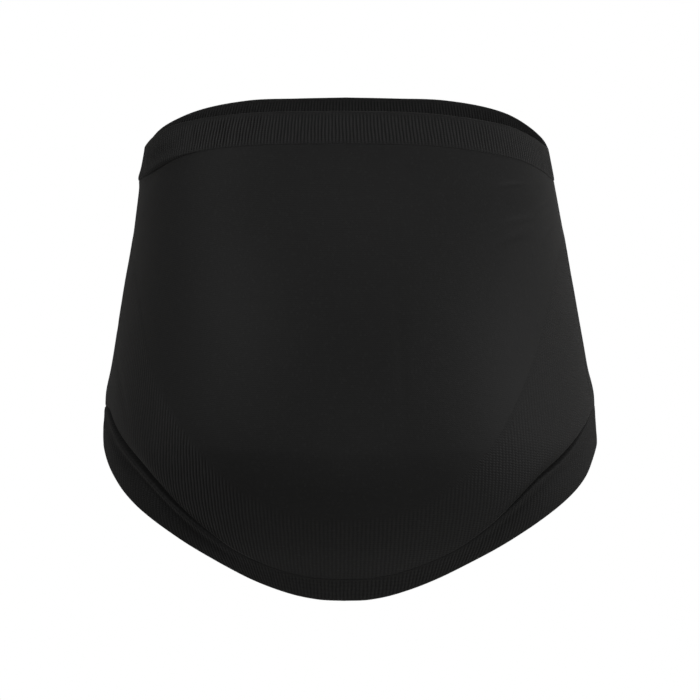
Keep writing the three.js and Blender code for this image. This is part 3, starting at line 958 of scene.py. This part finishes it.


# %% [markdown]
# The kinds of knitting differ in their stitches. The waistband's rib is made of tall stitches with
# deep furrows. The jersey's are small and flat: a real one has a course every 0.6 mm, which is less
# than a pixel, so they are drawn a little over twice as coarse, or they would only flicker. The sling
# has rows that show across its ribs, because of the stiffer yarn that is laid in. The hem band is the
# waistband's rib again, but in front its wales are drawn together until the ribs close up, so less
# painted shade and highlight goes on them. Its colour and its shine are also painted a little darker
# than the waistband's: that is painted shade, for a band that faces down under the belly.

# %% Dress the belt
rib_knit = knitted(
    "ribbed_nylon_elastane", ("#111111", "#1c1c1c"), shine=0.46, stitch_depth=0.14,
    rib_highlight=0.5, furrow=0.8, specks=0.4, slubs=0.3,
    wales_per_rib=1, course=1.5, lean=0.5, cross=(1, 1),
)
jersey_knit = knitted(
    "plain_jersey_nylon_elastane", ("#0f0f0f", "#191919"), shine=0.46, stitch_depth=0.08,
    rib_highlight=0, furrow=0, specks=1.0, slubs=0.65,
    wales_per_rib=2, course=1.4, lean=0.4, cross=(0.4, 0.4),
)
support_knit = knitted(
    "laid_in_rib_nylon_elastane", ("#101010", "#1a1a1a"), shine=0.46, stitch_depth=0.18,
    rib_highlight=0.12, furrow=0.22, specks=0.4, slubs=0.4,
    wales_per_rib=1, course=1.95, lean=0.35, cross=(0.15, 0.9),
)
# Painted shade: the hem band's colour and shine are darker than the waistband's, because it faces down
# under the belly.
shaded_hem_knit = knitted(
    "ribbed_nylon_elastane_closed_up_and_shaded", ("#0f0f0f", "#1b1b1b"), shine=0.37, stitch_depth=0.14,
    rib_highlight=0.2, furrow=0.36, specks=0.4, slubs=0.3,
    wales_per_rib=1, course=1.5, lean=0.5, cross=(1, 1),
)
for piece, material in (
    (waistband, rib_knit),
    (belly_panel, jersey_knit),
    (support_sling, support_knit),
    (hem_band, shaded_hem_knit),
):
    piece.data.materials.append(material)
print("materials", [material.name for material in bpy.data.materials])

# %% [markdown]
# ## A white studio
#
# The picture has a pure white ground. For the white to come out white, and for the black not to turn
# grey, the view transform is the plain one. The ground is bright only to the camera: as a lamp it
# would flatten the ribs, so for all other rays the sky is much dimmer.

# %% White ground
SKY_LIGHT = 0.038
bpy.context.scene.view_settings.view_transform = "Standard"
world = bpy.data.worlds.new("white_ground")
world.use_nodes = True
world.node_tree.nodes.clear()
is_camera = add_node(world.node_tree, "ShaderNodeLightPath").outputs["Is Camera Ray"]
strength = add_node(
    world.node_tree,
    "ShaderNodeMath",
    {0: is_camera, 1: 1 - SKY_LIGHT, 2: SKY_LIGHT},
    operation="MULTIPLY_ADD",
)
sky = add_node(world.node_tree, "ShaderNodeBackground", {"Color": (1, 1, 1, 1), "Strength": strength})
add_node(world.node_tree, "ShaderNodeOutputWorld", {0: sky})
bpy.context.scene.world = world
print("the sky lights the belt with", SKY_LIGHT, "of what the camera sees")

# %% [markdown]
# Soft light comes from both sides, from above, and from low in front, where a studio's white floor
# gives light back. Each softbox was tried alone, and their strengths were then fitted to the tones of
# the photograph, which is surer than turning them up and down by eye. The one behind only shows the
# back.

# %% Softboxes
SPREAD = math.radians(80)
SOFTBOXES = [  # name, place in metres, width and height in metres, watts
    ("softbox_right", (1.9, -1.3, 0.9), (1.2, 1.6), 1.2),
    ("softbox_right_low", (2.3, -0.2, 0.0), (1.0, 1.2), 1.65),
    ("softbox_left", (-1.9, -1.3, 0.9), (1.2, 1.6), 2.12),
    ("softbox_above", (0.2, -1.2, 2.3), (1.6, 1.2), 1.41),
    ("softbox_front_low", (0.1, -2.5, -0.4), (1.4, 0.8), 1.16),
    ("edge_light", (1.7, 1.5, 0.9), (1.0, 1.6), 0.24),
    ("softbox_back", (0.1, 2.4, 0.1), (1.2, 1.2), 1.6),
]

for name, place, (width, tall), watts in SOFTBOXES:
    lamp = bpy.data.lights.new(name, "AREA")
    lamp.shape = "RECTANGLE"
    lamp.size, lamp.size_y, lamp.energy, lamp.spread = width, tall, watts, SPREAD
    softbox = bpy.data.objects.new(name, lamp)
    softbox.location = place
    softbox.rotation_euler = (LOOKS_AT - Vector(place)).to_track_quat("-Z", "Y").to_euler()
    bpy.context.collection.objects.link(softbox)
print("lit by", [name for name, _, _, _ in SOFTBOXES])

# %% [markdown]
# The belt keeps its place in the frame, so it hangs well above the floor, which is no part of it.
# The floor is a small board in matt white paint, which gives the eye a pale tone and no shine.
# It stays out of the picture, where a large one would close off the white ground from below.

# %% Floor
FLOOR_DROP, FLOOR_WIDTH = 0.8, 1.5  # metres
floor_mesh = bpy.data.meshes.new("floor")
slab = bmesh.new()
bmesh.ops.create_grid(slab, x_segments=1, y_segments=1, size=FLOOR_WIDTH / 2)
bmesh.ops.translate(slab, verts=slab.verts, vec=(0, 0, -FLOOR_DROP))
slab.to_mesh(floor_mesh)
slab.free()
floor = bpy.data.objects.new("floor", floor_mesh)
bpy.context.collection.objects.link(floor)
pale = bpy.data.materials.new("matt_white_paint")
pale.use_nodes = True
pale.node_tree.nodes["Principled BSDF"].inputs["Base Color"].default_value = linear("#e8e8e6")
pale.node_tree.nodes["Principled BSDF"].inputs["Roughness"].default_value = 0.9
floor_mesh.materials.append(pale)
print("the floor is", FLOOR_DROP, "m under the hip line")

# %% [markdown]
# ## Finish
#
# Cloth may stand a little proud of the solid that it replaces, but the belt has to keep its size.

# %% Finish
bpy.context.view_layer.update()
